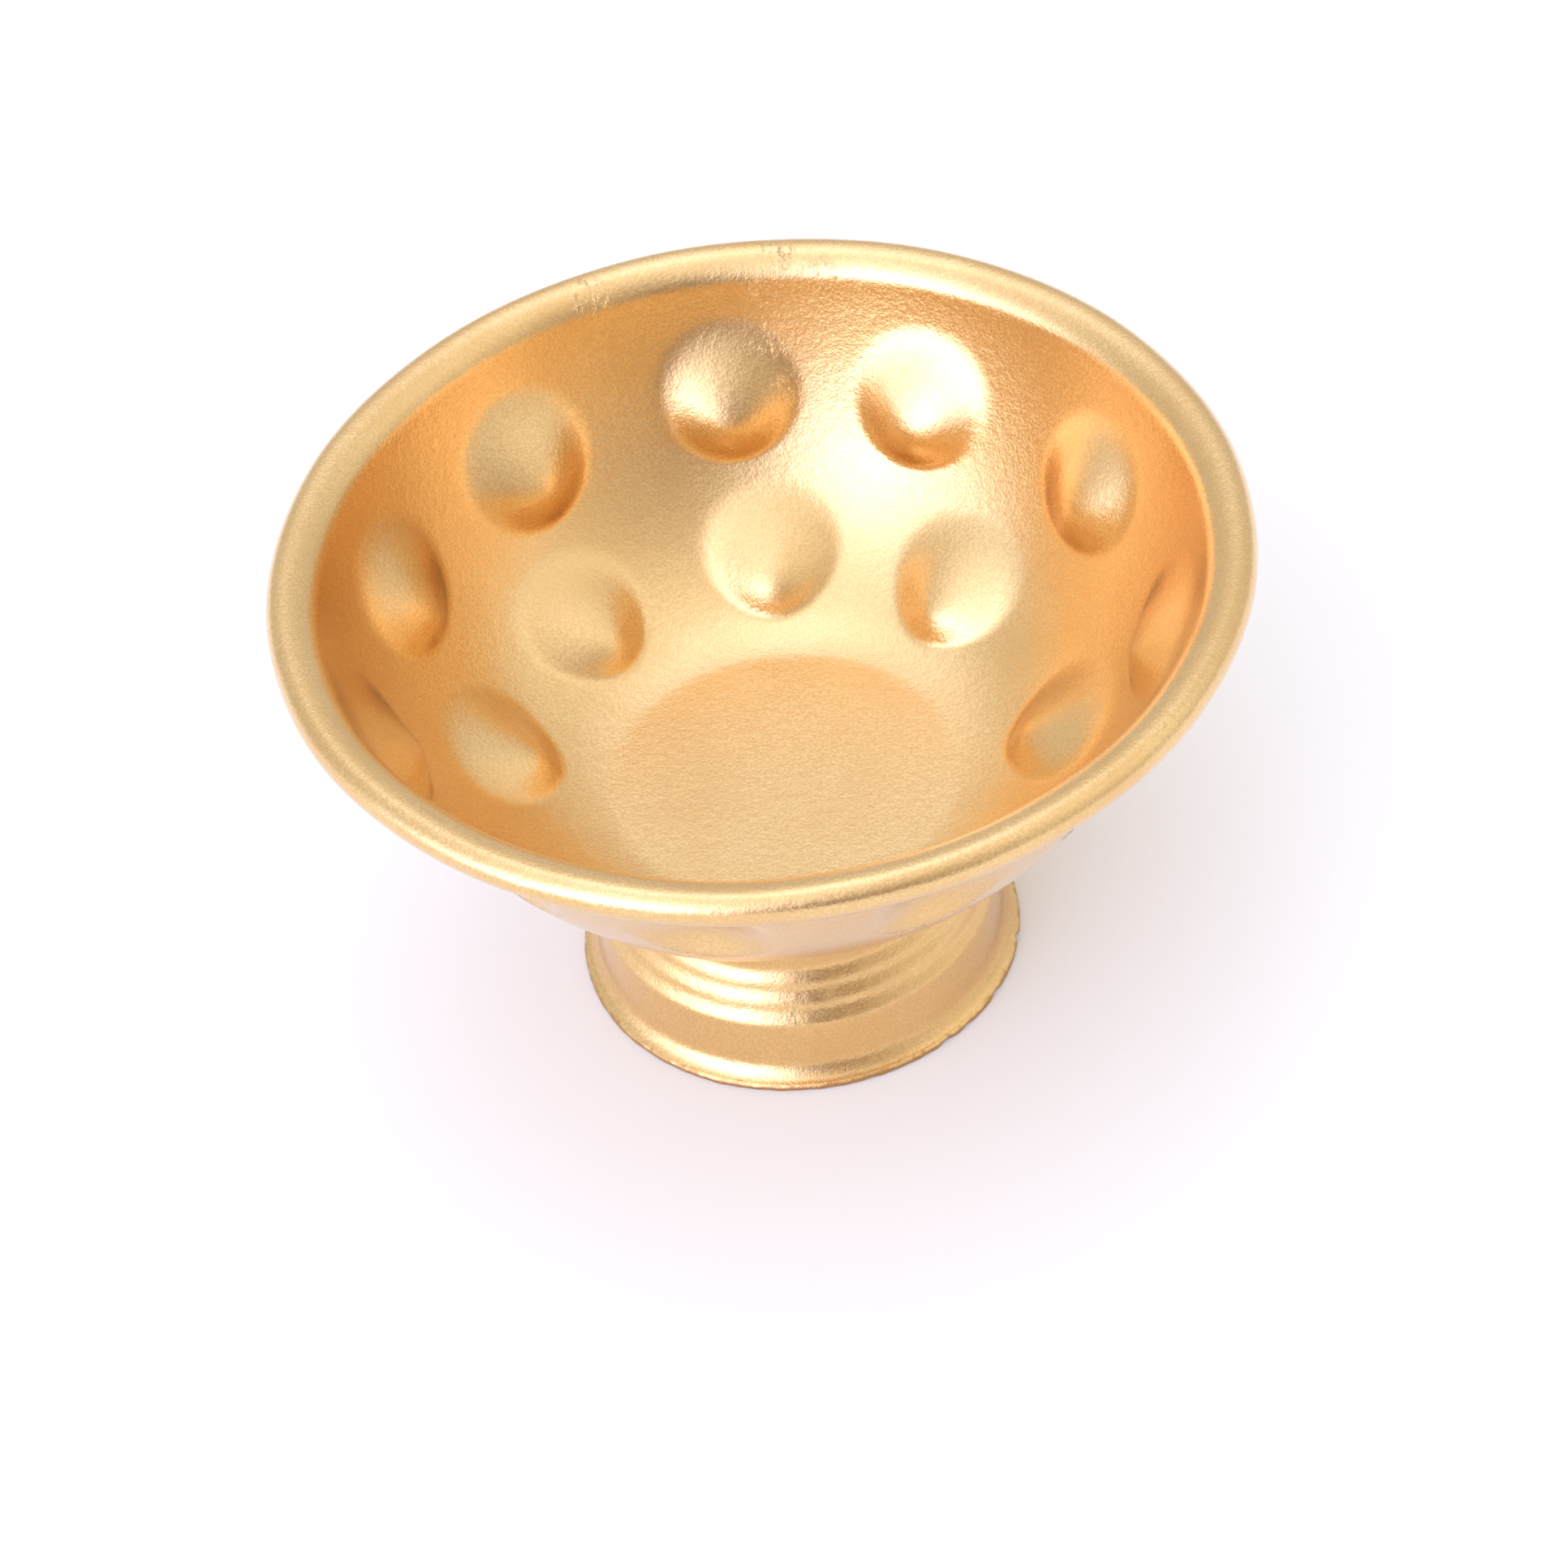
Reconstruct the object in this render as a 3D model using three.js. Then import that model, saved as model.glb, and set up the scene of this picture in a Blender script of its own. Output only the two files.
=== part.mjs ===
// A small footed bowl pressed from thin sheet: a dented bowl with a rolled rim, a stepped
// foot drawn as an upside-down cup, and the braze that joins the foot's top to the bowl.
// Millimetres, +Z up. The origin is the middle of the circle that the foot stands on.

import * as THREE from 'three';

// Sheet and joint
const sheetThickness = 0.5;
const brazeThickness = 0.3;
const brazeFilletWidth = 1.2;
const brazeClearance = 0.1;

// Bowl, measured on its inside. The wall leaves the edge of the floor towards the pull point
// and arrives at the rim from it.
const rimDiameter = 80;
const rimRollDiameter = 3;
const rimBendRadius = 2.8;
const rollLastTurn = -150;
const bowlDepth = 26.2;
const floorDiameter = 29.3;
const wallPullInset = 9.9;
const wallPullRise = 1.6;

// Dents, pushed in from the outside in two rings
const dentDepth = 1.7;
const dentDrop = 0.45;
const dentLowerBlend = 1;
const dentUpperBlend = 2;
const upperDentCount = 11;
const upperDentDiameter = 12.8;
const upperDentRise = 15.6;
const upperDentStart = -2.8;
const lowerDentCount = 8;
const lowerDentDiameter = 12.6;
const lowerDentRise = 4.1;
const lowerDentStart = 3.4;

// Foot, measured on its outside, with its heights stacked from the ground up
const waistDiameter = 29.2;
const stepCount = 3;
const stepWidth = 0.77;
const stepDrop = 1.2;
const riserHeight = 0.45;
const coveLean = 0.52;
const flareWidth = 0.79;
const lipWidth = 0.59;
const edgeHeight = 0.48;
const lipHeight = 0.26;
const flareHeight = 1.05;
const coveHeight = 4.21;
const waistHeight = 7.1;
const footShoulderBlend = 1.1;
const stepBlend = 0.22;
const ledgeBlend = 0.25;
const coveBlend = 0.6;
const flareBlend = 0.35;
const edgeBlend = 0.22;

// Fineness of the mesh
const bowlSides = 96;
const footSides = 48;
const wallStep = 2.1;
const bendSteps = 3;
const rollStep = 30;
const blendSteps = 2;

const degrees = Math.PI / 180;
const rimRadius = rimDiameter / 2;
const rollRadius = rimRollDiameter / 2;
const floorRadius = floorDiameter / 2;
const waistRadius = waistDiameter / 2;
const flareBottom = edgeHeight + lipHeight;
const coveBottom = flareBottom + flareHeight;
const ledgeHeight = coveBottom + coveHeight;
const waistFoot = ledgeHeight + stepCount * stepDrop + (stepCount - 1) * riserHeight;
const footHeight = waistFoot + waistHeight;
const bowlUnderside = footHeight + brazeThickness;
const floorHeight = bowlUnderside + sheetThickness;
const rimHeight = floorHeight + bowlDepth;

// A line in the (radius, height) plane: straight runs between corners [radius, height, blend],
// each corner rounded by a quadratic curve that takes up its blend length on both sides.
function blendedLine(corners) {
  const points = corners.map(([radius, height]) => new THREE.Vector2(radius, height));
  const line = new THREE.Path().moveTo(points[0].x, points[0].y);
  for (let i = 1; i < points.length - 1; i += 1) {
    const blend = corners[i][2];
    const enter = points[i - 1].clone().sub(points[i]).setLength(blend).add(points[i]);
    const leave = points[i + 1].clone().sub(points[i]).setLength(blend).add(points[i]);
    line.lineTo(enter.x, enter.y).quadraticCurveTo(points[i].x, points[i].y, leave.x, leave.y);
  }
  const last = points[points.length - 1];
  return line.lineTo(last.x, last.y);
}

// The unit normal to the right-hand side of a run of points, at each of them.
function rightNormals(points) {
  return points.map((_, i) => {
    const before = points[Math.max(i - 1, 0)];
    const after = points[Math.min(i + 1, points.length - 1)];
    return new THREE.Vector2(after.y - before.y, before.x - after.x).normalize();
  });
}

// The closed section of a sheet that lies on the right-hand side of a face: out from the
// axis along its far side, round its edge, and back along the face.
function sheetSection(face) {
  const normals = rightNormals(face);
  const far = face.map((point, i) => point.clone().addScaledVector(normals[i], sheetThickness));
  return [...far, ...face.slice().reverse()];
}

// Turns a (radius, height) section round the upright axis.
function turned(section, sides) {
  return new THREE.LatheGeometry(section, sides).rotateX(Math.PI / 2);
}

function named(name, geometry, material) {
  const mesh = new THREE.Mesh(geometry, material);
  mesh.name = name;
  return mesh;
}

// The point at an angle on a circle in the (radius, height) plane.
function onCircle(centre, radius, angle) {
  return new THREE.Vector2(Math.cos(angle), Math.sin(angle)).multiplyScalar(radius).add(centre);
}

// The inside of the bowl, from the middle of its floor: flat floor, curved wall, then the rim,
// which bends outwards on a wide circle and rolls down round a tight one.
function bowlFace() {
  const rollCentre = new THREE.Vector2(rimRadius - rollRadius, rimHeight - rollRadius);
  const bendCentre = new THREE.Vector2(rimRadius - rollRadius, rimHeight - rimBendRadius);
  const floorEdge = new THREE.Vector2(floorRadius, floorHeight);
  const pull = new THREE.Vector2(rimRadius - wallPullInset, floorHeight + wallPullRise);
  const toBend = bendCentre.clone().sub(pull);
  const bendStart = toBend.angle() + Math.asin(rimBendRadius / toBend.length()) + Math.PI / 2;
  const wallTop = onCircle(bendCentre, rimBendRadius, bendStart);
  const wall = new THREE.CubicBezierCurve(floorEdge, pull, wallTop, wallTop);
  const wallPoints = wall.getSpacedPoints(Math.round(wall.getLength() / wallStep));
  const rimPoints = [];
  for (let i = 1; i < bendSteps; i += 1) {
    const angle = THREE.MathUtils.lerp(bendStart, Math.PI / 2, i / bendSteps);
    rimPoints.push(onCircle(bendCentre, rimBendRadius, angle));
  }
  for (let turn = 90; turn >= rollLastTurn; turn -= rollStep) {
    rimPoints.push(onCircle(rollCentre, rollRadius, turn * degrees));
  }
  const floorCentre = new THREE.Vector2(0, floorHeight);
  return { face: [floorCentre, ...wallPoints, ...rimPoints], rimCount: rimPoints.length };
}

// Where the wall stands at a given rise above the floor.
function wallPointAt(face, rise) {
  const height = floorHeight + rise;
  const above = face.findIndex((point) => point.y > height);
  const low = face[above - 1];
  const high = face[above];
  return low.clone().lerp(high, (height - low.y) / (high.y - low.y));
}

// How far one ring of dents pushes the sheet inwards at a point of the wall. Each dent is a
// dome over a circle, one minus the square of the way from its crest to its outline, raised to
// a blend. The crest lies low in the circle and the blend grows upwards, so that a dent ends
// sharply below and melts into the wall above.
function dentPush(ring, point, angle) {
  const pitch = (2 * Math.PI) / ring.count;
  const turn = angle - (90 - ring.start) * degrees;
  const radius = ring.diameter / 2;
  const sideways = ((turn - Math.round(turn / pitch) * pitch) * ring.centre.x) / radius;
  const along = (Math.sign(point.y - ring.centre.y) * point.distanceTo(ring.centre)) / radius;
  const span = Math.hypot(along + dentDrop, sideways);
  if (span === 0) return dentDepth;
  const upward = (along + dentDrop) / span;
  const reach = dentDrop * upward + Math.sqrt(1 - dentDrop ** 2 * (1 - upward ** 2));
  const blend = THREE.MathUtils.lerp(dentLowerBlend, dentUpperBlend, (1 + upward) / 2);
  return Math.max(0, 1 - (span / reach) ** 2) ** blend * dentDepth;
}

// The bowl: its section turned round the axis, then both sides of the wall pushed inwards
// together at each dent, so that the sheet keeps its thickness.
function bowlShell() {
  const { face, rimCount } = bowlFace();
  const normals = rightNormals(face);
  const section = sheetSection(face);
  const geometry = turned(section, bowlSides);
  const rings = [
    { count: upperDentCount, diameter: upperDentDiameter, rise: upperDentRise, start: upperDentStart },
    { count: lowerDentCount, diameter: lowerDentDiameter, rise: lowerDentRise, start: lowerDentStart },
  ].map((ring) => ({ ...ring, centre: wallPointAt(face, ring.rise) }));
  const position = geometry.getAttribute('position');
  const vertex = new THREE.Vector3();
  const inwards = new THREE.Vector3();
  for (let i = 0; i < position.count; i += 1) {
    const along = i % section.length;
    const station = Math.min(along, section.length - 1 - along);
    if (station > 0 && station < face.length - rimCount) {
      vertex.fromBufferAttribute(position, i);
      const angle = Math.atan2(vertex.y, vertex.x);
      const push = rings.reduce((sum, ring) => sum + dentPush(ring, face[station], angle), 0);
      const { x: outwards, y: upwards } = normals[station];
      inwards.set(-outwards * Math.cos(angle), -outwards * Math.sin(angle), -upwards);
      vertex.addScaledVector(inwards, push);
      position.setXYZ(i, vertex.x, vertex.y, vertex.z);
    }
  }
  geometry.computeVertexNormals();
  const satinGold = new THREE.MeshStandardMaterial({ color: 0xe0a860, roughness: 0.35, metalness: 1 });
  return named('bowl_shell', geometry, satinGold);
}

// The foot: a closed flat top, a straight waist, sloping steps with short risers between them,
// a hollow cove that flares out, and a lip that turns down to the cut edge on the ground.
function foot() {
  const corners = [[0, footHeight], [waistRadius, footHeight, footShoulderBlend]];
  for (let i = 0; i < stepCount; i += 1) {
    const radius = waistRadius + i * stepWidth;
    const height = waistFoot - i * (stepDrop + riserHeight);
    const lastBlend = i === stepCount - 1 ? ledgeBlend : stepBlend;
    corners.push([radius, height, stepBlend], [radius + stepWidth, height - stepDrop, lastBlend]);
  }
  const cove = waistRadius + stepCount * stepWidth + coveLean;
  const footRadius = cove + flareWidth + lipWidth;
  corners.push(
    [cove, coveBottom, coveBlend],
    [cove + flareWidth, flareBottom, flareBlend],
    [footRadius, edgeHeight, edgeBlend],
    [footRadius, 0],
  );
  const outside = blendedLine(corners);
  const satinGold = new THREE.MeshStandardMaterial({ color: 0xdca45c, roughness: 0.35, metalness: 1 });
  return named('foot', turned(sheetSection(outside.getPoints(blendSteps)), footSides), satinGold);
}

// The braze: a film over the foot's top and a hollow fillet between the foot's shoulder and
// the bowl, just clear of the wall where it curves up.
function brazeJoint() {
  const flat = waistRadius - footShoulderBlend;
  const filletFoot = waistRadius + brazeClearance;
  const filletTop = filletFoot + brazeFilletWidth;
  const section = new THREE.Path()
    .moveTo(0, footHeight)
    .lineTo(flat, footHeight)
    .quadraticCurveTo(filletFoot, footHeight, filletFoot, footHeight - footShoulderBlend)
    .quadraticCurveTo(filletFoot, bowlUnderside, filletTop, bowlUnderside)
    .lineTo(0, bowlUnderside);
  const braze = new THREE.MeshStandardMaterial({ color: 0xc89a58, roughness: 0.5, metalness: 1 });
  return named('braze_joint', turned(section.getPoints(blendSteps), footSides), braze);
}

const footedBowl = new THREE.Group();
footedBowl.add(bowlShell(), foot(), brazeJoint());

export default footedBowl;
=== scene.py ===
import math

import bpy
import numpy as np
from mathutils import Matrix, Vector


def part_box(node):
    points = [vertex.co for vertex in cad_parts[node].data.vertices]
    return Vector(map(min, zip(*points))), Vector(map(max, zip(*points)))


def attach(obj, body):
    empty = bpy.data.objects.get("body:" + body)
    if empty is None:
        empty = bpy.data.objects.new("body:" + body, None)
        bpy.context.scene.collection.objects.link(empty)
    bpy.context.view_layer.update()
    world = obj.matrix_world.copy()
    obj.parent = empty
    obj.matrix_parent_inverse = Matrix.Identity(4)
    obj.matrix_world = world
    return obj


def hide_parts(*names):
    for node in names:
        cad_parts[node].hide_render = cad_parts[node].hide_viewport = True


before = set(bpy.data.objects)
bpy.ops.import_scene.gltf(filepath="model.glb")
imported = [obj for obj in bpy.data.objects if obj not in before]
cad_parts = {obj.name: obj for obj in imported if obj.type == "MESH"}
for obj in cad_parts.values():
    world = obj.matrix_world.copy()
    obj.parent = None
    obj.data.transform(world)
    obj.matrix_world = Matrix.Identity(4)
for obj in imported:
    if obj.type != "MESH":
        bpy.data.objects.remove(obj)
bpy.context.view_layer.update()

# Camera
# It looks down on the bowl by 46 degrees from 0.45 m, as the ellipses of the rim and the foot
# say, aimed a little above the foot's middle and turned about its own line of sight.
camera_distance = 0.45
camera_lens_mm = 119.96
camera_sensor_mm = 36
camera_elevation = math.radians(46.19)
camera_roll = math.radians(6.6)
camera_lift = 0.02787
camera_swing = -0.0005

away = Vector((0, -math.cos(camera_elevation), math.sin(camera_elevation)))
level = Vector((1, 0, 0))
upward = away.cross(level)
ahead = math.sin(camera_lift) * upward - math.cos(camera_lift) * away + camera_swing * level
upright = math.cos(camera_lift) * upward + math.sin(camera_lift) * away
ahead.normalize()
camera_right = math.cos(camera_roll) * level - math.sin(camera_roll) * upright
camera_up = math.sin(camera_roll) * level + math.cos(camera_roll) * upright

camera_data = bpy.data.cameras.new("studio_camera")
camera_data.sensor_width = camera_sensor_mm
camera_data.lens = camera_lens_mm
camera_data.clip_start = 0.01
camera = bpy.data.objects.new("studio_camera", camera_data)
camera.matrix_world = Matrix.Translation(camera_distance * away) @ Matrix(
    (camera_right, camera_up, -ahead)).transposed().to_4x4()
bpy.context.scene.collection.objects.link(camera)
bpy.context.scene.camera = camera


# Bowl
# One disc of half-millimetre sheet, drawn into a cone with a flat floor, dented from outside
# by a round punch in two rings, its edge rolled outwards, then covered in satin gold lacquer.
sheet = 0.0005
edge_rounding = 0.00008
floor_radius = 0.01465
wall_pull_inset = 0.0099
wall_pull_rise = 0.0016
bend_radius = 0.0028
roll_radius = 0.0015
roll_end = math.radians(-150)
bowl_unevenness = 0.0002

dent_depth = 0.0017
dent_drop = 0.45
dent_lower_blend = 1.0
dent_upper_blend = 2.0
upper_dent_angles = (-100.7, -68.3, -35.8, -1.8, 28.5, 62.0, 96.2, 127.9, 160.4, 193.7, 226.2)
upper_dent_radius = 0.0064
upper_dent_rise = 0.0156
lower_dent_angles = (-82.5, -41.2, 2.7, 44.4, 93.7, 137.5, 183.0, 229.5)
lower_dent_radius = 0.0063
lower_dent_rise = 0.0041

bowl_low, bowl_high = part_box("bowl_shell")
rim_radius = bowl_high.x
rim_height = bowl_high.z
floor_height = bowl_low.z + sheet

# Fineness of the bowl's grid
bowl_sides = 320
bowl_step = 0.0004
wall_samples = 400
bend_points = 12
roll_points = 32
edge_points = 7


def blended_line(corners, step):
    """Points along straight runs between corners (radius, height, blend). Each corner is
    rounded by a quadratic curve: (1 - t)^2 enter + 2 t (1 - t) corner + t^2 leave."""
    place = np.array([corner[:2] for corner in corners], float)
    pieces = [place[:1]]
    for i in range(1, len(corners) - 1):
        back, onward = place[i - 1] - place[i], place[i + 1] - place[i]
        blend = corners[i][2]
        enter = place[i] + blend * back / np.hypot(*back)
        leave = place[i] + blend * onward / np.hypot(*onward)
        pieces.append(straight_run(pieces[-1][-1], enter, step))
        t = np.linspace(0, 1, max(4, round(2 * blend / step)) + 1)[1:, None]
        pieces.append((1 - t) ** 2 * enter + 2 * t * (1 - t) * place[i] + t ** 2 * leave)
    pieces.append(straight_run(pieces[-1][-1], place[-1], step))
    return np.concatenate(pieces)


def straight_run(start, end, step):
    """Points after start up to end, start + (end - start) t, no further apart than step."""
    count = max(1, math.ceil(np.hypot(*(end - start)) / step))
    t = np.linspace(0, 1, count + 1)[1:, None]
    return start + (end - start) * t


def right_normals(points):
    """The unit normal on the right-hand side of a run of points: the tangent turned by
    minus 90 degrees."""
    tangent = np.gradient(points, axis=0)
    normal = np.stack([tangent[:, 1], -tangent[:, 0]], axis=1)
    return normal / np.hypot(normal[:, 0], normal[:, 1])[:, None]


def sheet_stations(face):
    """The closed section of the sheet on the right of a face, from the axis out along its far
    side, round its cut edge and back, and each point's index on the face. The edge is half an
    ellipse, middle + sheet / 2 cos(a) normal + edge_rounding sin(a) tangent."""
    normal = right_normals(face)
    order = np.arange(len(face))
    turn = np.linspace(0, math.pi, edge_points + 2)[1:-1, None]
    across = np.cos(turn) * normal[-1] * sheet / 2
    outward = np.sin(turn) * np.array([-normal[-1, 1], normal[-1, 0]]) * edge_rounding
    edge = face[-1] + normal[-1] * sheet / 2 + across + outward
    points = np.concatenate([face + normal * sheet, edge, face[::-1]])
    index = np.concatenate([order, np.full(len(edge), order[-1]), order[::-1]])
    return points, index


def round_angles(sides):
    """Even angles once round the axis, starting at +X."""
    return np.linspace(0, 2 * math.pi, sides, endpoint=False)


def turned_skin(name, radius, height):
    """A closed surface from grids [station, angle] of radius and height, at the points (radius
    cos(angle), radius sin(angle), height). The first and last stations lie on the axis, with
    fans at both ends and quads between."""
    stations, sides = radius.shape
    angles = round_angles(sides)
    rings = np.stack([radius * np.cos(angles), radius * np.sin(angles), height], axis=-1)
    inner = rings[1:-1].reshape(-1, 3)
    vertices = np.concatenate([rings[0, :1], inner, rings[-1, :1]])
    ring = np.arange(stations - 2)[:, None] * sides + 1
    j = np.arange(sides)
    k = (j + 1) % sides
    low, high = ring[:-1], ring[1:]
    quads = np.stack([low + j, low + k, high + k, high + j], axis=-1).reshape(-1, 4)
    last = len(vertices) - 1
    first_fan = np.stack([np.zeros_like(j), 1 + k, 1 + j], axis=-1)
    last_fan = np.stack([np.full_like(j, last), ring[-1] + j, ring[-1] + k], axis=-1)
    mesh = bpy.data.meshes.new(name)
    faces = quads.tolist() + first_fan.tolist() + last_fan.tolist()
    mesh.from_pydata(vertices.tolist(), [], faces)
    mesh.polygons.foreach_set("use_smooth", np.ones(len(mesh.polygons), bool))
    mesh.update()
    piece = bpy.data.objects.new(name, mesh)
    bpy.context.scene.collection.objects.link(piece)
    return piece


def lengths_along(points):
    """The length of a run of points from its start up to each of them."""
    return np.concatenate([[0], np.cumsum(np.hypot(*np.diff(points, axis=0).T))])


def points_at(places, length, points):
    """The points at given lengths along a run, on the straights between its own points."""
    return np.stack([np.interp(places, length, points[:, k]) for k in (0, 1)], axis=1)


def arc_run(centre, radius, start, end, count):
    """Points after start on a circle round centre, up to end."""
    turn = np.linspace(start, end, count + 1)[1:, None]
    return centre + radius * np.concatenate([np.cos(turn), np.sin(turn)], axis=1)


def bowl_face():
    """The inside of the bowl from the middle of its floor to the end of the roll, as points
    (radius, height). The wall is the cubic curve (1 - t)^3 edge + 3 t (1 - t)^2 pull +
    t^2 (3 - 2 t) top; from its top the rim bends outwards on a wide circle, then a tight one."""
    bend_centre = np.array([rim_radius - roll_radius, rim_height - bend_radius])
    roll_centre = np.array([rim_radius - roll_radius, rim_height - roll_radius])
    edge = np.array([floor_radius, floor_height])
    pull = np.array([rim_radius - wall_pull_inset, floor_height + wall_pull_rise])
    to_bend = bend_centre - pull
    band = math.atan2(to_bend[1], to_bend[0]) + math.asin(bend_radius / np.hypot(*to_bend))
    bend_start = band + math.pi / 2
    top = bend_centre + bend_radius * np.array([math.cos(bend_start), math.sin(bend_start)])
    t = np.linspace(0, 1, wall_samples)[:, None]
    wall = (1 - t) ** 3 * edge + 3 * t * (1 - t) ** 2 * pull + t ** 2 * (3 - 2 * t) * top
    length = lengths_along(wall)
    even = np.linspace(0, length[-1], round(length[-1] / bowl_step) + 1)
    wall = points_at(even, length, wall)
    floor = straight_run(np.array([0, floor_height]), edge, 2 * bowl_step)
    bend = arc_run(bend_centre, bend_radius, bend_start, math.pi / 2, bend_points)
    roll = arc_run(roll_centre, roll_radius, math.pi / 2, roll_end, roll_points)
    return np.concatenate([[[0, floor_height]], floor, wall[1:], bend, roll])


def dent_push(face, angles, dent_angles, radius, rise):
    """How far each point [station, angle] is pushed inwards by a ring of round dents: the
    dome depth (1 - d^2)^blend, where d is the share of the way from the dent's crest to its
    outline. The crest lies below the middle by the drop, and the blend grows from the
    downward way to the upward one, so that a dent ends sharply below and melts away above."""
    height = floor_height + rise
    station = np.argmax(face[:, 1] > height)
    centre = face[station - 1] + (face[station] - face[station - 1]) * (
        (height - face[station - 1, 1]) / (face[station, 1] - face[station - 1, 1]))
    along = (np.hypot(*(face - centre).T) * np.sign(face[:, 1] - height) / radius)[:, None]
    push = np.zeros((len(face), len(angles)))
    for dent_angle in dent_angles:
        off = angles - math.radians(90 - dent_angle)
        sideways = centre[0] * np.arctan2(np.sin(off), np.cos(off)) / radius
        span = np.hypot(along + dent_drop, sideways) + 1e-9
        upward = (along + dent_drop) / span
        reach = dent_drop * upward + np.sqrt(1 - dent_drop ** 2 * (1 - upward ** 2))
        blend = dent_lower_blend + (dent_upper_blend - dent_lower_blend) * (1 + upward) / 2
        push += dent_depth * np.clip(1 - (span / reach) ** 2, 0, None) ** blend
    return push


def waves(angles, *terms):
    """Half of one plus the mean of sines of the angle, terms (count, start): 0 to 1."""
    return (1 + sum(np.sin(count * angles + start) for count, start in terms) / len(terms)) / 2


def pressed_bowl():
    """The dented shell: the section turned round the axis, both faces moved together by the
    dents along the inward normal of the section. Towards the rim it is drawn in and down by
    up to the unevenness, radius - unevenness * rise * waves, as a hand-worked rim is."""
    face = bowl_face()
    points, index = sheet_stations(face)
    angles = round_angles(bowl_sides)
    push = dent_push(face, angles, upper_dent_angles, upper_dent_radius, upper_dent_rise)
    push += dent_push(face, angles, lower_dent_angles, lower_dent_radius, lower_dent_rise)
    normal = right_normals(face)[index]
    moved = points[:, None, :] - push[index][:, :, None] * normal[:, None, :]
    rise = np.clip((moved[..., 1] - floor_height) / (rim_height - floor_height), 0, 1)
    radius = moved[..., 0] - bowl_unevenness * rise * waves(angles, (2, 1.1), (5, 0.3), (13, 2.0))
    height = moved[..., 1] - bowl_unevenness / 2 * rise ** 2 * waves(angles, (3, 0.8), (8, 2.6))
    return turned_skin("pressed_bowl", radius, height)


bowl = pressed_bowl()


class Field:
    """A shader value. Its operators add Math nodes, so formulas read as plain arithmetic."""

    def __init__(self, nodes, socket):
        self.nodes = nodes
        self.socket = socket

    def math(self, operation, *others):
        return self.nodes.add("ShaderNodeMath", {"operation": operation}, [self, *others])

    def __add__(self, other):
        return self.math("ADD", other)

    def __mul__(self, other):
        return self.math("MULTIPLY", other)

    def __sub__(self, other):
        return self.math("SUBTRACT", other)

    def __rsub__(self, other):
        return self.nodes.add("ShaderNodeMath", {"operation": "SUBTRACT"}, [other, self])

    __radd__ = __add__
    __rmul__ = __mul__

    def step(self, low, high):
        """0 below low, 1 above high, smooth between."""
        return self.nodes.add(
            "ShaderNodeMapRange", {"interpolation_type": "SMOOTHSTEP"}, [self, low, high, 0.0, 1.0])

    def output(self, name):
        """Another output of the same node."""
        return Field(self.nodes, self.socket.node.outputs[name])


class Nodes:
    """The node tree of a material or the world, with one method that adds any node."""

    def __init__(self, tree):
        self.tree = tree
        tree.nodes.clear()

    def add(self, kind, settings=None, inputs=(), output=0):
        """A node of a kind, with its settings first, then the values or links of its inputs.
        Gives the named output, or the node itself where it has none."""
        node = self.tree.nodes.new(kind)
        for key, value in (settings or {}).items():
            setattr(node, key, value)
        pairs = inputs.items() if isinstance(inputs, dict) else enumerate(inputs)
        for key, value in pairs:
            if isinstance(value, Field):
                self.tree.links.new(value.socket, node.inputs[key])
            else:
                node.inputs[key].default_value = value
        return Field(self, node.outputs[output]) if len(node.outputs) else node

    def mix(self, factor, first, second):
        """Colour first where factor is 0, second where it is 1."""
        node = self.tree.nodes.new("ShaderNodeMix")
        node.data_type = "RGBA"
        for name, value in (("Factor_Float", factor), ("A_Color", first), ("B_Color", second)):
            socket = next(item for item in node.inputs if item.identifier == name)
            if isinstance(value, Field):
                self.tree.links.new(value.socket, socket)
            else:
                socket.default_value = value if name == "Factor_Float" else (*value, 1)
        return Field(self, next(item for item in node.outputs if item.identifier == "Result_Color"))


# Lacquer: features to the metre, tints as shares of its own colour
powder_scale = 4200
peel_scale = 1300
cloud_scale = 90
nib_scale = 620
pit_scale = 170
blotch_scale = 480
flake_scale = 900
flake_stretch = (2.2, 1.0, 1.0)
deep_tint = (0.93, 0.88, 0.8)
dull_tint = (0.84, 0.77, 0.66)
pit_colour = (0.3, 0.14, 0.05)
bottom_band_brown = (0.5, 0.26, 0.08)
scuff_colour = (0.5, 0.3, 0.14)
grain_depth = 0.00006
mottle_fade = 0.0004
brown_fade = 0.00012
brown_raggedness = 0.0005


def tinted(colour, tint):
    """A colour whose channels are taken down to the tint's shares."""
    return tuple(channel * share for channel, share in zip(colour, tint))


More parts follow.
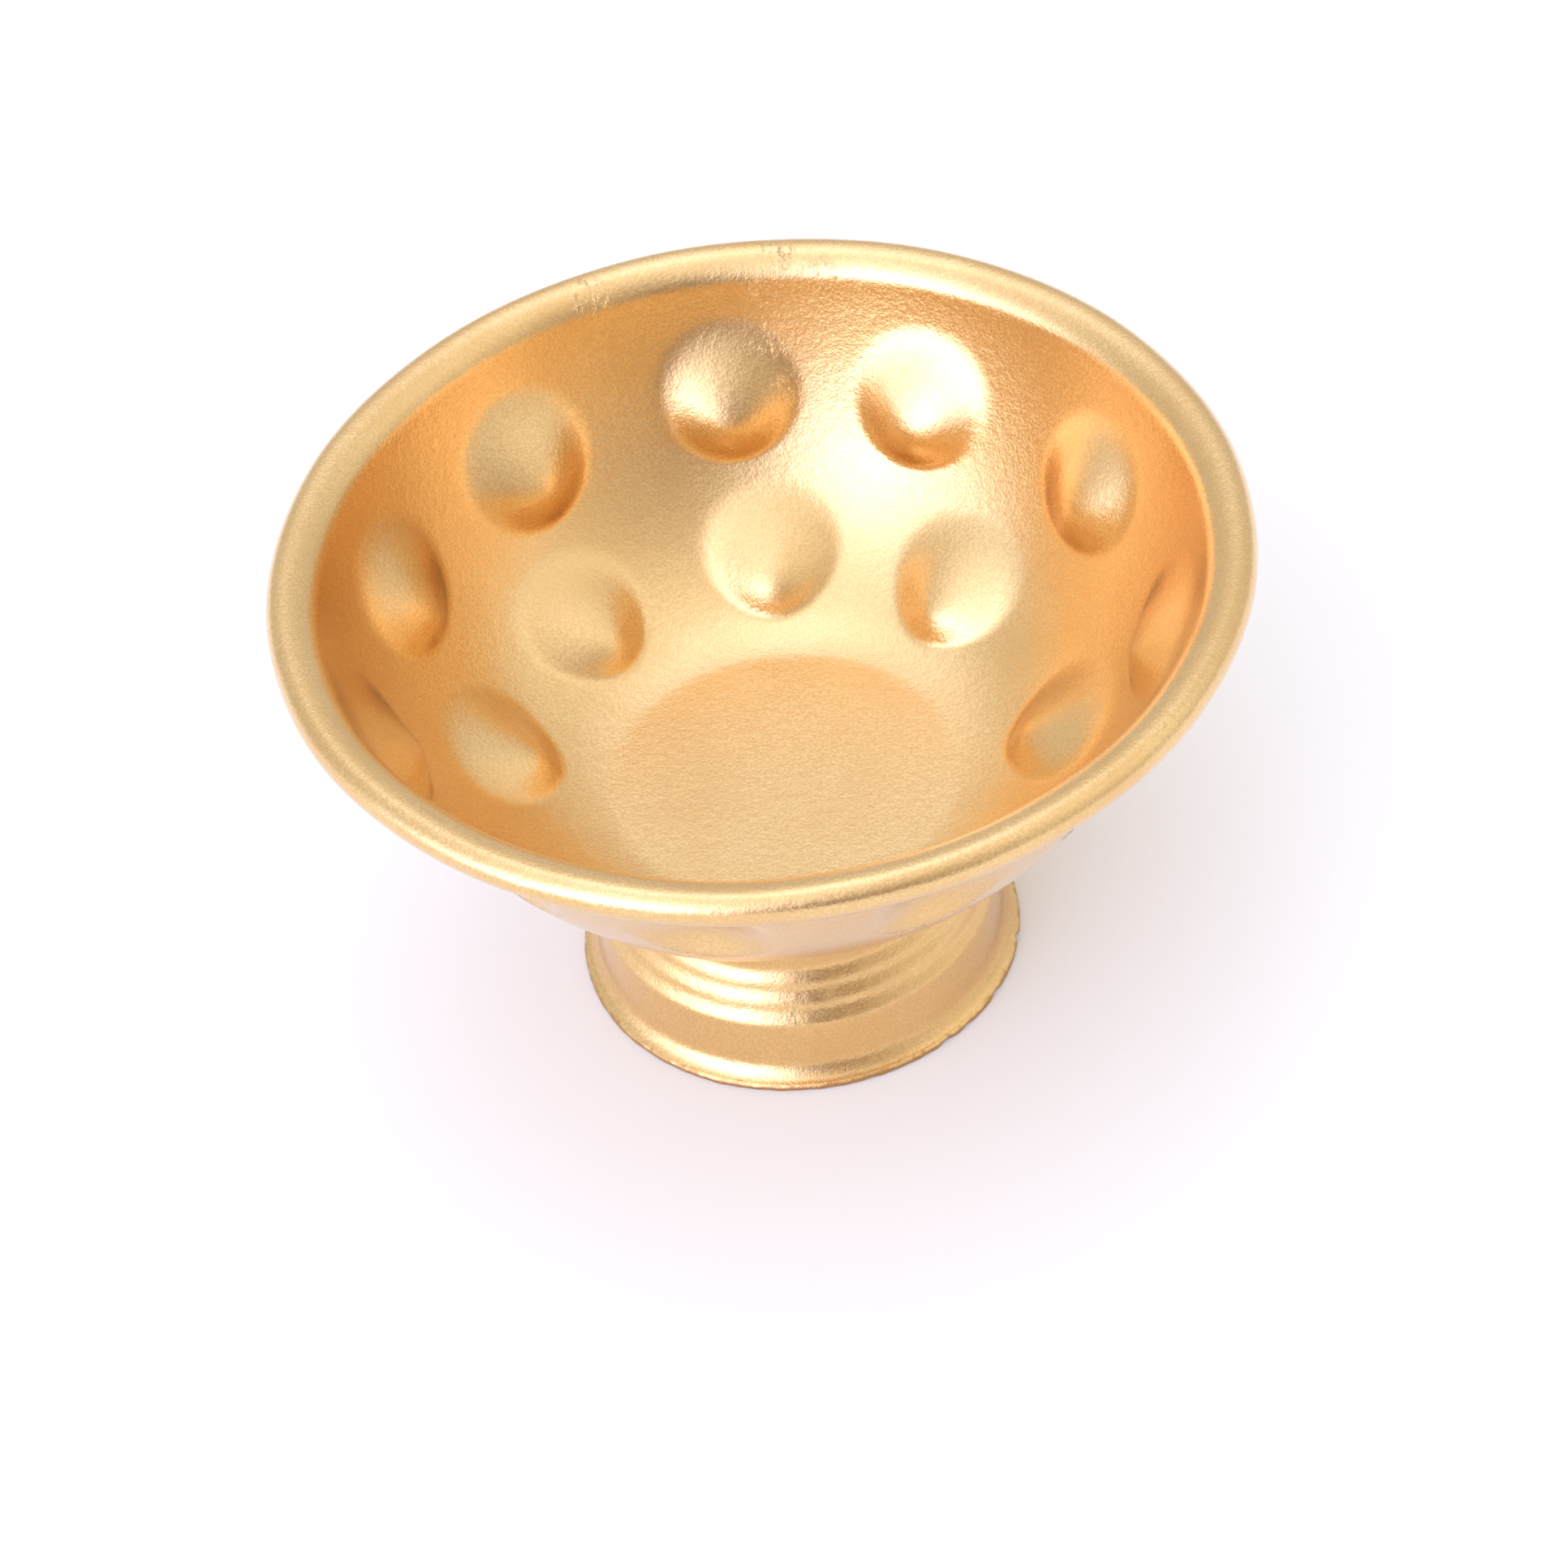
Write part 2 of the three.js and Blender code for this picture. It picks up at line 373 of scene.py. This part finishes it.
def satin_gold(name, colour, mottled_above=None, brown_below=None, scuffs=()):
    """Gold lacquer over pressed sheet: powdery grain, orange peel, raised nibs and dark pits.
    It can be blotchy above one height, brown below another and scuffed round some places."""
    material = bpy.data.materials.new(name)
    material.use_nodes = True
    nodes = Nodes(material.node_tree)
    place = nodes.add("ShaderNodeTexCoord", output="Object")

    def noise(scale, detail, roughness, at=place):
        """Cloudy noise of a scale, between 0 and 1 and mostly near a half."""
        return nodes.add("ShaderNodeTexNoise", inputs={
            "Vector": at, "Scale": scale, "Detail": detail, "Roughness": roughness})

    def specks(scale, radius, soft_radius, rare, rarer):
        """1 on round specks in some of a scale's cells, whose random colour passes rare."""
        cell = nodes.add("ShaderNodeTexVoronoi", inputs={"Vector": place, "Scale": scale})
        return (1 - cell.step(radius, soft_radius)) * cell.output("Color").step(rare, rarer)

    powder = noise(powder_scale, 3, 0.6)
    peel = noise(peel_scale, 2, 0.5)
    cloud = noise(cloud_scale, 3, 0.55)
    nib = specks(nib_scale, 0.03, 0.1, 0.62, 0.66)
    pit = specks(pit_scale, 0.012, 0.024, 0.55, 0.57)
    height = powder * 0.9 + peel * 0.9 + nib * 0.35 - pit * 0.8
    roughness = 0.15 + powder * 0.14 + cloud * 0.06
    deep = tinted(colour, deep_tint)
    base = nodes.mix(cloud.step(0.35, 0.7), colour, deep)
    base = nodes.mix(powder.step(0.62, 0.38) * 0.7, base, tinted(colour, dull_tint))
    base = nodes.mix(pit, base, pit_colour)
    level = nodes.add("ShaderNodeSeparateXYZ", inputs=[place], output="Z")
    if mottled_above is not None:
        mottled = level.step(mottled_above - mottle_fade, mottled_above + mottle_fade)
        blotch = (noise(blotch_scale, 4, 0.65) - 0.5) * mottled
        roughness = roughness + blotch * 0.5
        height = height + blotch * 1.6
        base = nodes.mix(blotch.step(0.0, 0.25), base, deep)
    # Below that height the colour turns brown, with a ragged top: a brown band along the bottom of
    # the lip.
    if brown_below is not None:
        ragged = level + (peel - 0.5) * brown_raggedness
        browned = 1 - ragged.step(brown_below - brown_fade, brown_below + brown_fade)
        base = nodes.mix(browned, base, bottom_band_brown)
        roughness = roughness + browned * 0.2
        height = height + browned * powder * 1.5
    if scuffs:
        drawn = nodes.add(
            "ShaderNodeVectorMath", {"operation": "MULTIPLY"}, [place, flake_stretch])
        flake = noise(flake_scale, 4, 0.7, at=drawn)
        scuffed = 0
        for centre, reach in scuffs:
            far = nodes.add(
                "ShaderNodeVectorMath", {"operation": "DISTANCE"}, [place, centre], output="Value")
            scuffed = scuffed + (1 - far.step(reach * 0.3, reach))
        scuffed = scuffed * flake.step(0.52, 0.6)
        height = height + scuffed * 1.4
        roughness = roughness + scuffed * 0.1
        base = nodes.mix(scuffed * peel.step(0.5, 0.62), base, scuff_colour)
    normal = nodes.add("ShaderNodeBump", inputs={
        "Strength": 0.55, "Distance": grain_depth, "Height": height})
    shader = nodes.add("ShaderNodeBsdfPrincipled", inputs={
        "Base Color": base, "Metallic": 1.0, "Roughness": roughness, "Normal": normal,
        "Coat Weight": 0.8, "Coat Roughness": 0.22})
    nodes.add("ShaderNodeOutputMaterial", inputs={"Surface": shader})
    return material


# Places along the rim's far side where the lacquer is scuffed, and how far round them
rim_scuffs = [
    ((-0.0118, 0.0347, 0.0438), 0.0024),
    ((0.0045, 0.0368, 0.0442), 0.0022),
    ((0.0078, 0.035, 0.0432), 0.0022),
    ((0.003, 0.0348, 0.042), 0.0022),
    ((0.0035, 0.0325, 0.0385), 0.003),
    ((0.0042, 0.0300, 0.0345), 0.003),
]
bowl_gold = (0.86, 0.585, 0.26)
bowl.data.materials.append(satin_gold("satin_gold_bowl", bowl_gold, scuffs=rim_scuffs))
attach(bowl, "root")
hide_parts("bowl_shell")


# Foot
# A cup of the same sheet, drawn upside down, with three sloping steps rolled below its waist
# and its mouth spread out of a hollow cove into a flare. The edge is left as it was cut.
step_count = 3
step_width = 0.00077
step_drop = 0.0013
riser_height = 0.0003
cove_lean = 0.00052
flare_width = 0.00079
lip_width = 0.00059
edge_height = 0.00048
lip_height = 0.00026
flare_height = 0.00105
cove_height = 0.00421
foot_shoulder_blend = 0.0011
step_blend = 0.00015
ledge_blend = 0.00025
cove_blend = 0.0006
flare_blend = 0.00035
edge_blend = 0.00022

# The cut edge: each nick is (degrees from +X, half width in degrees, depth)
edge_waviness = 0.00011
edge_nicks = (
    (-12.8, 1.3, 0.0004), (-54.0, 2.2, 0.00022), (-46.5, 1.5, 0.00014), (-33.0, 2.0, 0.00012))
nick_fade = 1.6 * edge_height

# The steps' softening, which fades in above their foot and ends above their head
step_softness = 0.00035
softening_start = 0.0002
softening_fade_in = 0.0004
softening_fade_out = 0.0006
softening_end = 0.0012

# Fineness of the foot's grid, and of the line that its steps are softened on
foot_sides = 440
foot_step = 0.0005
line_step = 0.00005
softening_points = 20
fine_above_steps = 0.001

foot_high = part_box("foot")[1]
foot_radius = foot_high.x
foot_height = foot_high.z


def foot_face():
    """The outside of the foot from the middle of its closed top to the end of its lip: the
    waist, sloping steps with risers between them, the cove, the flare and the cut edge."""
    cove = foot_radius - lip_width - flare_width
    waist = cove - cove_lean - step_count * step_width
    flare_bottom = edge_height + lip_height
    cove_bottom = flare_bottom + flare_height
    ledge = cove_bottom + cove_height
    waist_foot = ledge + step_count * step_drop + (step_count - 1) * riser_height
    corners = [(0, foot_height), (waist, foot_height, foot_shoulder_blend)]
    for i in range(step_count):
        radius = waist + i * step_width
        height = waist_foot - i * (step_drop + riser_height)
        low_blend = ledge_blend if i == step_count - 1 else step_blend
        corners.append((radius, height, step_blend))
        corners.append((radius + step_width, height - step_drop, low_blend))
    corners += [
        (cove, cove_bottom, cove_blend),
        (cove + flare_width, flare_bottom, flare_blend),
        (foot_radius, edge_height, edge_blend),
        (foot_radius, edge_rounding),
    ]
    return softened(blended_line(corners, line_step), ledge, waist_foot)


def softened(line, low, high):
    """A line of points, softened between two heights and thinned out. There each point moves
    to the mean of its neighbours weighted by exp(-(distance / step_softness)^2), by a share
    that fades in above the low height and out above the high one. The foot's outside keeps its
    points four times as densely from its lip to its waist as the rest of the line."""
    length = lengths_along(line)
    place = points_at(np.arange(0, length[-1], line_step), length, line)
    reach = np.arange(-softening_points, softening_points + 1) * line_step
    weight = np.exp(-(reach / step_softness) ** 2)
    weight = weight / weight.sum()
    mean = np.stack([np.convolve(place[:, k], weight, "same") for k in (0, 1)], axis=1)
    fade_in = (place[:, 1] - low - softening_start) / softening_fade_in
    fade_out = (high + softening_end - place[:, 1]) / softening_fade_out
    place = place + (mean - place) * np.clip(np.minimum(fade_in, fade_out), 0, 1)[:, None]
    outside = (place[:, 1] < high + fine_above_steps) & (place[:, 0] > foot_radius / 2)
    count = np.cumsum(line_step / np.where(outside, foot_step / 2, 2 * foot_step))
    keep = np.concatenate([[True], np.diff(np.floor(count)) > 0])
    return np.concatenate([place[keep], line[-1:]])


def pressed_foot():
    """The foot's section turned round the axis. Its cut edge is drawn up and in by the waviness
    and by nicks, each a bell curve depth * exp(-(angle / width)^2), fading out up the lip."""
    points, _ = sheet_stations(foot_face())
    angles = round_angles(foot_sides)
    worn = edge_waviness * waves(angles, (4, 0.5), (11, 2.0), (23, 1.3), (41, 0.2), (67, 2.9))
    for nick_angle, width, depth in edge_nicks:
        off = angles - math.radians(nick_angle)
        off = np.arctan2(np.sin(off), np.cos(off))
        worn = worn + depth * np.exp(-(off / math.radians(width)) ** 2)
    fade = np.clip(1 - points[:, 1:] / nick_fade, 0, 1)
    return turned_skin("pressed_foot", points[:, :1] - fade * worn, points[:, 1:] + fade * worn)


foot = pressed_foot()
# Same lacquer as the bowl, but a little deeper and more orange: painted shade, standing in for the
# warm, dim light under the bowl.
foot_gold_with_painted_shade = (0.86, 0.57, 0.24)
# The lowest half millimetre of the lip is coloured brown.
foot.data.materials.append(satin_gold(
    "satin_gold_foot", foot_gold_with_painted_shade, mottled_above=0.006, brown_below=0.0005))
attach(foot, "root")
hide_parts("foot")


# Braze
# A film of brazing metal between the foot's closed top and the underside of the bowl, drawn
# by the heat into an uneven fillet round the foot's shoulder and lacquered over with the rest.
braze_clearance = 0.0001
braze_fillet_width = 0.0012
braze_unevenness = 0.35
braze_sides = 240
braze_curve_points = 15

braze_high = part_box("braze_joint")[1]


def flowed_braze():
    """The film's underside out to the foot's shoulder, round it, up the hollow fillet to the
    bowl and back over the film's top. Waves round the axis draw the fillet's reach and drop
    in by up to the unevenness. Both curves are quadratic, as a blended corner's are."""
    waviness = waves(round_angles(braze_sides), (3, 0.4), (7, 2.1), (16, 4.0))
    full = 1 - braze_unevenness * waviness
    top = np.full(braze_sides, braze_high.z)
    under = np.full(braze_sides, foot_height)
    side = np.full(braze_sides, braze_high.x - braze_fillet_width)
    shoulder = side - braze_clearance - foot_shoulder_blend
    drop = under - foot_shoulder_blend * full
    reach = side + braze_fillet_width * full
    t = np.linspace(0, 1, braze_curve_points)[:, None]
    enter, corner, leave = (1 - t) ** 2, 2 * t * (1 - t), t ** 2
    shoulder_radius = enter * shoulder + corner * side + leave * side
    shoulder_height = (enter + corner) * under + leave * drop
    fillet_radius = (enter + corner) * side + leave * reach
    fillet_height = enter * drop + (corner + leave) * top
    axis = np.zeros((1, braze_sides))
    radius = np.concatenate([axis, shoulder_radius, fillet_radius[1:], axis])
    height = np.concatenate([under[None], shoulder_height, fillet_height[1:], top[None]])
    return turned_skin("flowed_braze", radius, height)


braze = flowed_braze()
braze_gold = (0.78, 0.52, 0.26)
braze.data.materials.append(satin_gold("lacquered_braze", braze_gold))
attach(braze, "root")
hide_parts("braze_joint")


# Studio
# A white paper floor in a white light tent, with cool panels from low to high at the front
# left and one overhead. The cloth glows a little more above and at the right, and is dim and
# brownish at its mouth, low at the front and the front right.
floor_half = 1.5
floor_colour = (0.86, 0.845, 0.815, 1)
floor_glow = (0.08, 0.08, 0.08)

floor_corners = [
    (x * floor_half, y * floor_half, 0) for x, y in ((-1, -1), (1, -1), (1, 1), (-1, 1))]
floor_mesh = bpy.data.meshes.new("paper_floor")
floor_mesh.from_pydata(floor_corners, [], [(0, 1, 2, 3)])
floor = bpy.data.objects.new("paper_floor", floor_mesh)
bpy.context.scene.collection.objects.link(floor)
paper = bpy.data.materials.new("white_paper")
paper.use_nodes = True
paper_nodes = Nodes(paper.node_tree)
seen = paper_nodes.add("ShaderNodeLightPath", output="Is Camera Ray")
mirrored = paper_nodes.add("ShaderNodeLightPath", output="Is Glossy Ray")
glow = paper_nodes.mix(seen + mirrored, (0, 0, 0), floor_glow)
paper_shader = paper_nodes.add("ShaderNodeBsdfPrincipled", inputs={
    "Base Color": floor_colour, "Roughness": 0.9, "Specular IOR Level": 0.0,
    "Emission Color": glow, "Emission Strength": 1.0})
paper_nodes.add("ShaderNodeOutputMaterial", inputs={"Surface": paper_shader})
floor_mesh.materials.append(paper)


# Each lobe of light or shadow is (azimuth from +Y to +X, elevation, sharpness, level)
tent_level = 0.72
tent_panels = (
    (-120, 5, 12, 2.2), (-146, 16, 18, 2.4), (-146, 36, 16, 1.1), (-130, 60, 14, 0.6),
    (-12, 71, 20, 1.1))
tent_glow = ((0, 90, 3, 0.38), (100, 38, 8, 0.38))
tent_shadows = ((-178, 12, 18, 0.62), (162, 5, 16, 0.15), (145, 38, 14, 0.18))
panel_colour = (0.96, 1.05, 1.6, 1)
mouth_colour = (1, 0.6, 0.4)
mouth_dimming = 0.8

world = bpy.data.worlds.new("light_tent")
bpy.context.scene.world = world
world.use_nodes = True
tent = Nodes(world.node_tree)
ray = tent.add("ShaderNodeLightPath", output="Is Camera Ray")
direction = tent.add("ShaderNodeTexCoord", output="Generated")


def soft_lobes(lobes):
    """The sum of level * exp(sharpness * (cos(angle from the lobe's middle) - 1))."""
    total = 0
    for azimuth, elevation, sharpness, level in lobes:
        turn, rise = math.radians(azimuth), math.radians(elevation)
        middle = (math.cos(rise) * math.sin(turn), math.cos(rise) * math.cos(turn), math.sin(rise))
        cosine = tent.add(
            "ShaderNodeVectorMath", {"operation": "DOT_PRODUCT"}, [direction, middle],
            output="Value")
        total = total + (cosine * sharpness - sharpness).math("EXPONENT") * level
    return total


shadow = soft_lobes(tent_shadows)
cloth = tent.add("ShaderNodeBackground", inputs={
    "Color": tent.mix(shadow, (1, 1, 1), mouth_colour),
    "Strength": soft_lobes(tent_glow) + tent_level - shadow * mouth_dimming})
panels = tent.add("ShaderNodeBackground", inputs={
    "Color": panel_colour, "Strength": soft_lobes(tent_panels)})
lit = tent.add("ShaderNodeAddShader", inputs=[cloth, panels])
white = tent.add("ShaderNodeBackground", inputs={"Color": (1, 1, 1, 1), "Strength": 1.0})
backdrop = tent.add("ShaderNodeMixShader", inputs=[ray, lit, white])
tent.add("ShaderNodeOutputWorld", inputs={"Surface": backdrop})

bpy.context.scene.view_settings.view_transform = "Standard"
